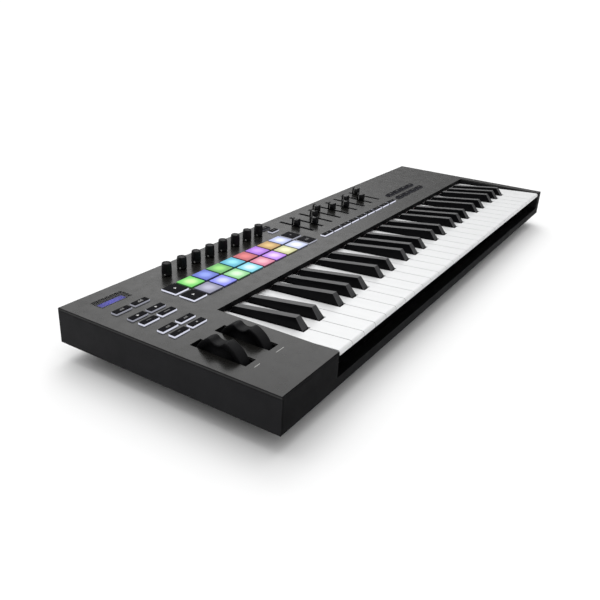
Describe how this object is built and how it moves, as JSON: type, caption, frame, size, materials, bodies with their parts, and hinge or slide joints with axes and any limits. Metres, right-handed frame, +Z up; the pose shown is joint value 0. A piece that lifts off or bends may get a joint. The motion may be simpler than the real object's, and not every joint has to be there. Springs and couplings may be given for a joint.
{
  "type": "midi keyboard",
  "caption": "Keyboard controller with piano-style keys, pitch and mod wheels, knobs, faders, lit pads and buttons in a flat two-part case.",
  "frame": {"origin": "centre of the footprint, on the surface that the feet stand on", "axes": "+X to the player's right along the keys, +Y from the player to the back, +Z up"},
  "size_m": [0.789, 0.258, 0.0714],
  "materials": {
    "panel_grey": "fine satin texture",
    "shell_black": "fine satin texture",
    "key_white": "smooth satin gloss",
    "key_black": "fine matte texture",
    "wheel_rubber": "soft matte rubber",
    "knob_black": "soft matte rubber",
    "fader_black": "matte",
    "button_black": "matte cap on a lit translucent skirt",
    "pad_silicone": "translucent, lit from below",
    "window_dark": "tinted clear, polished",
    "display_lit": "lit from behind",
    "board_green": "solder mask",
    "steel_bright": "plain plated",
    "socket_black": "moulded",
    "felt_red": "felt",
    "contact_rubber": "silicone",
    "foot_rubber": "matte",
    "chassis_black": "glass-filled moulding"
  },
  "bodies": {
    "case": {"top_case": "panel_grey", "bottom_case": "shell_black", "rubber_feet": "foot_rubber", "case_screws": "steel_bright", "display_window": "window_dark", "display_module": "display_lit", "panel_circuit_board": "board_green", "knob_encoders": "steel_bright", "fader_bodies": "chassis_black", "io_board": "board_green", "usb_socket": "steel_bright", "midi_socket": "socket_black", "pedal_socket": "socket_black", "wheel_bracket": "chassis_black", "keybed_chassis": "chassis_black", "key_pivot_rod": "steel_bright", "key_contact_board": "board_green", "key_contact_rubber": "contact_rubber", "key_return_springs": "steel_bright", "felt_strips": "felt_red"},
    "octave1_keys_cegb": {"octave1_keys_cegb": "key_white"},
    "octave1_keys_dfa": {"octave1_keys_dfa": "key_white"},
    "octave1_keys_black": {"octave1_keys_black": "key_black"},
    "octave2_keys_cegb": {"octave2_keys_cegb": "key_white"},
    "octave2_keys_dfa": {"octave2_keys_dfa": "key_white"},
    "octave2_keys_black": {"octave2_keys_black": "key_black"},
    "octave3_keys_cegb": {"octave3_keys_cegb": "key_white"},
    "octave3_keys_dfa": {"octave3_keys_dfa": "key_white"},
    "octave3_keys_black": {"octave3_keys_black": "key_black"},
    "octave4_keys_cegb": {"octave4_keys_cegb": "key_white"},
    "octave4_keys_dfa": {"octave4_keys_dfa": "key_white"},
    "octave4_keys_black": {"octave4_keys_black": "key_black"},
    "top_c_key": {"top_c_key": "key_white"},
    "pitch_wheel": {"pitch_wheel": "wheel_rubber"},
    "mod_wheel": {"mod_wheel": "wheel_rubber"},
    "knob_1": {"knob_1": "knob_black"},
    "knob_2": {"knob_2": "knob_black"},
    "knob_3": {"knob_3": "knob_black"},
    "knob_4": {"knob_4": "knob_black"},
    "knob_5": {"knob_5": "knob_black"},
    "knob_6": {"knob_6": "knob_black"},
    "knob_7": {"knob_7": "knob_black"},
    "knob_8": {"knob_8": "knob_black"},
    "fader_cap_1": {"fader_cap_1": "fader_black"},
    "fader_cap_2": {"fader_cap_2": "fader_black"},
    "fader_cap_3": {"fader_cap_3": "fader_black"},
    "fader_cap_4": {"fader_cap_4": "fader_black"},
    "fader_cap_5": {"fader_cap_5": "fader_black"},
    "fader_cap_6": {"fader_cap_6": "fader_black"},
    "fader_cap_7": {"fader_cap_7": "fader_black"},
    "fader_cap_8": {"fader_cap_8": "fader_black"},
    "fader_cap_9": {"fader_cap_9": "fader_black"},
    "pads_rear_row": {"pads_rear_row": "pad_silicone"},
    "pads_front_row": {"pads_front_row": "pad_silicone"},
    "display_buttons": {"display_buttons": "button_black"},
    "octave_buttons": {"octave_buttons": "button_black"},
    "pad_side_buttons": {"pad_side_buttons": "button_black"},
    "device_buttons": {"device_buttons": "button_black"},
    "fader_buttons": {"fader_buttons": "button_black"},
    "transport_buttons": {"transport_buttons": "button_black"}
  },
  "joints": [
    {"name": "octave1_keys_cegb_press", "type": "hinge", "parent": "case", "child": "octave1_keys_cegb", "pos_m": [0, 0.076, 0.03], "axis": [1, 0, 0], "range_deg": [0, 2.8], "stiffness_Nm_per_rad": 4, "springref_deg": -6.88},
    {"name": "octave1_keys_dfa_press", "type": "hinge", "parent": "case", "child": "octave1_keys_dfa", "pos_m": [0, 0.076, 0.03], "axis": [1, 0, 0], "range_deg": [0, 2.8], "stiffness_Nm_per_rad": 3, "springref_deg": -6.88},
    {"name": "octave1_keys_black_press", "type": "hinge", "parent": "case", "child": "octave1_keys_black", "pos_m": [0, 0.076, 0.03], "axis": [1, 0, 0], "range_deg": [0, 2.8], "stiffness_Nm_per_rad": 5, "springref_deg": -6.88},
    {"name": "octave2_keys_cegb_press", "type": "hinge", "parent": "case", "child": "octave2_keys_cegb", "pos_m": [0, 0.076, 0.03], "axis": [1, 0, 0], "range_deg": [0, 2.8], "stiffness_Nm_per_rad": 4, "springref_deg": -6.88},
    {"name": "octave2_keys_dfa_press", "type": "hinge", "parent": "case", "child": "octave2_keys_dfa", "pos_m": [0, 0.076, 0.03], "axis": [1, 0, 0], "range_deg": [0, 2.8], "stiffness_Nm_per_rad": 3, "springref_deg": -6.88},
    {"name": "octave2_keys_black_press", "type": "hinge", "parent": "case", "child": "octave2_keys_black", "pos_m": [0, 0.076, 0.03], "axis": [1, 0, 0], "range_deg": [0, 2.8], "stiffness_Nm_per_rad": 5, "springref_deg": -6.88},
    {"name": "octave3_keys_cegb_press", "type": "hinge", "parent": "case", "child": "octave3_keys_cegb", "pos_m": [0, 0.076, 0.03], "axis": [1, 0, 0], "range_deg": [0, 2.8], "stiffness_Nm_per_rad": 4, "springref_deg": -6.88},
    {"name": "octave3_keys_dfa_press", "type": "hinge", "parent": "case", "child": "octave3_keys_dfa", "pos_m": [0, 0.076, 0.03], "axis": [1, 0, 0], "range_deg": [0, 2.8], "stiffness_Nm_per_rad": 3, "springref_deg": -6.88},
    {"name": "octave3_keys_black_press", "type": "hinge", "parent": "case", "child": "octave3_keys_black", "pos_m": [0, 0.076, 0.03], "axis": [1, 0, 0], "range_deg": [0, 2.8], "stiffness_Nm_per_rad": 5, "springref_deg": -6.88},
    {"name": "octave4_keys_cegb_press", "type": "hinge", "parent": "case", "child": "octave4_keys_cegb", "pos_m": [0, 0.076, 0.03], "axis": [1, 0, 0], "range_deg": [0, 2.8], "stiffness_Nm_per_rad": 4, "springref_deg": -6.88},
    {"name": "octave4_keys_dfa_press", "type": "hinge", "parent": "case", "child": "octave4_keys_dfa", "pos_m": [0, 0.076, 0.03], "axis": [1, 0, 0], "range_deg": [0, 2.8], "stiffness_Nm_per_rad": 3, "springref_deg": -6.88},
    {"name": "octave4_keys_black_press", "type": "hinge", "parent": "case", "child": "octave4_keys_black", "pos_m": [0, 0.076, 0.03], "axis": [1, 0, 0], "range_deg": [0, 2.8], "stiffness_Nm_per_rad": 5, "springref_deg": -6.88},
    {"name": "top_c_key_press", "type": "hinge", "parent": "case", "child": "top_c_key", "pos_m": [0, 0.076, 0.03], "axis": [1, 0, 0], "range_deg": [0, 2.8], "stiffness_Nm_per_rad": 1, "springref_deg": -6.88},
    {"name": "pitch_wheel_turn", "type": "hinge", "parent": "case", "child": "pitch_wheel", "pos_m": [-0.367, -0.0483, 0.044], "axis": [1, 0, 0], "range_deg": [-35, 35], "stiffness_Nm_per_rad": 0.02},
    {"name": "mod_wheel_turn", "type": "hinge", "parent": "case", "child": "mod_wheel", "pos_m": [-0.333, -0.0483, 0.044], "axis": [1, 0, 0], "range_deg": [-35, 35]},
    {"name": "knob_1_turn", "type": "hinge", "parent": "case", "child": "knob_1", "pos_m": [-0.2704, 0.1047, 0.057], "axis": [0, 0, 1], "range_deg": [-150, 150]},
    {"name": "knob_2_turn", "type": "hinge", "parent": "case", "child": "knob_2", "pos_m": [-0.24625, 0.1047, 0.057], "axis": [0, 0, 1], "range_deg": [-150, 150]},
    {"name": "knob_3_turn", "type": "hinge", "parent": "case", "child": "knob_3", "pos_m": [-0.2221, 0.1047, 0.057], "axis": [0, 0, 1], "range_deg": [-150, 150]},
    {"name": "knob_4_turn", "type": "hinge", "parent": "case", "child": "knob_4", "pos_m": [-0.19795, 0.1047, 0.057], "axis": [0, 0, 1], "range_deg": [-150, 150]},
    {"name": "knob_5_turn", "type": "hinge", "parent": "case", "child": "knob_5", "pos_m": [-0.1738, 0.1047, 0.057], "axis": [0, 0, 1], "range_deg": [-150, 150]},
    {"name": "knob_6_turn", "type": "hinge", "parent": "case", "child": "knob_6", "pos_m": [-0.14965, 0.1047, 0.057], "axis": [0, 0, 1], "range_deg": [-150, 150]},
    {"name": "knob_7_turn", "type": "hinge", "parent": "case", "child": "knob_7", "pos_m": [-0.1255, 0.1047, 0.057], "axis": [0, 0, 1], "range_deg": [-150, 150]},
    {"name": "knob_8_turn", "type": "hinge", "parent": "case", "child": "knob_8", "pos_m": [-0.10135, 0.1047, 0.057], "axis": [0, 0, 1], "range_deg": [-150, 150]},
    {"name": "fader_1_slide", "type": "slide", "parent": "case", "child": "fader_cap_1", "axis": [0, 1, 0], "range_m": [-0.0233, 0.0217]},
    {"name": "fader_2_slide", "type": "slide", "parent": "case", "child": "fader_cap_2", "axis": [0, 1, 0], "range_m": [-0.0098, 0.0352]},
    {"name": "fader_3_slide", "type": "slide", "parent": "case", "child": "fader_cap_3", "axis": [0, 1, 0], "range_m": [-0.0253, 0.0197]},
    {"name": "fader_4_slide", "type": "slide", "parent": "case", "child": "fader_cap_4", "axis": [0, 1, 0], "range_m": [-0.0358, 0.0092]},
    {"name": "fader_5_slide", "type": "slide", "parent": "case", "child": "fader_cap_5", "axis": [0, 1, 0], "range_m": [-0.0243, 0.0207]},
    {"name": "fader_6_slide", "type": "slide", "parent": "case", "child": "fader_cap_6", "axis": [0, 1, 0], "range_m": [-0.0153, 0.0297]},
    {"name": "fader_7_slide", "type": "slide", "parent": "case", "child": "fader_cap_7", "axis": [0, 1, 0], "range_m": [-0.0288, 0.0162]},
    {"name": "fader_8_slide", "type": "slide", "parent": "case", "child": "fader_cap_8", "axis": [0, 1, 0], "range_m": [-0.0153, 0.0297]},
    {"name": "fader_9_slide", "type": "slide", "parent": "case", "child": "fader_cap_9", "axis": [0, 1, 0], "range_m": [-0.0368, 0.0082]},
    {"name": "pads_rear_row_press", "type": "slide", "parent": "case", "child": "pads_rear_row", "axis": [0, 0, -1], "range_m": [0, 0.0008], "stiffness_N_per_m": 2000, "springref_m": -0.0005},
    {"name": "pads_front_row_press", "type": "slide", "parent": "case", "child": "pads_front_row", "axis": [0, 0, -1], "range_m": [0, 0.0008], "stiffness_N_per_m": 2000, "springref_m": -0.0005},
    {"name": "display_buttons_press", "type": "slide", "parent": "case", "child": "display_buttons", "axis": [0, 0, -1], "range_m": [0, 0.0012], "stiffness_N_per_m": 800, "springref_m": -0.0005},
    {"name": "octave_buttons_press", "type": "slide", "parent": "case", "child": "octave_buttons", "axis": [0, 0, -1], "range_m": [0, 0.0012], "stiffness_N_per_m": 800, "springref_m": -0.0005},
    {"name": "pad_side_buttons_press", "type": "slide", "parent": "case", "child": "pad_side_buttons", "axis": [0, 0, -1], "range_m": [0, 0.0012], "stiffness_N_per_m": 800, "springref_m": -0.0005},
    {"name": "device_buttons_press", "type": "slide", "parent": "case", "child": "device_buttons", "axis": [0, 0, -1], "range_m": [0, 0.0012], "stiffness_N_per_m": 800, "springref_m": -0.0005},
    {"name": "fader_buttons_press", "type": "slide", "parent": "case", "child": "fader_buttons", "axis": [0, 0, -1], "range_m": [0, 0.0012], "stiffness_N_per_m": 800, "springref_m": -0.0005},
    {"name": "transport_buttons_press", "type": "slide", "parent": "case", "child": "transport_buttons", "axis": [0, 0, -1], "range_m": [0, 0.0012], "stiffness_N_per_m": 800, "springref_m": -0.0005}
  ]
}
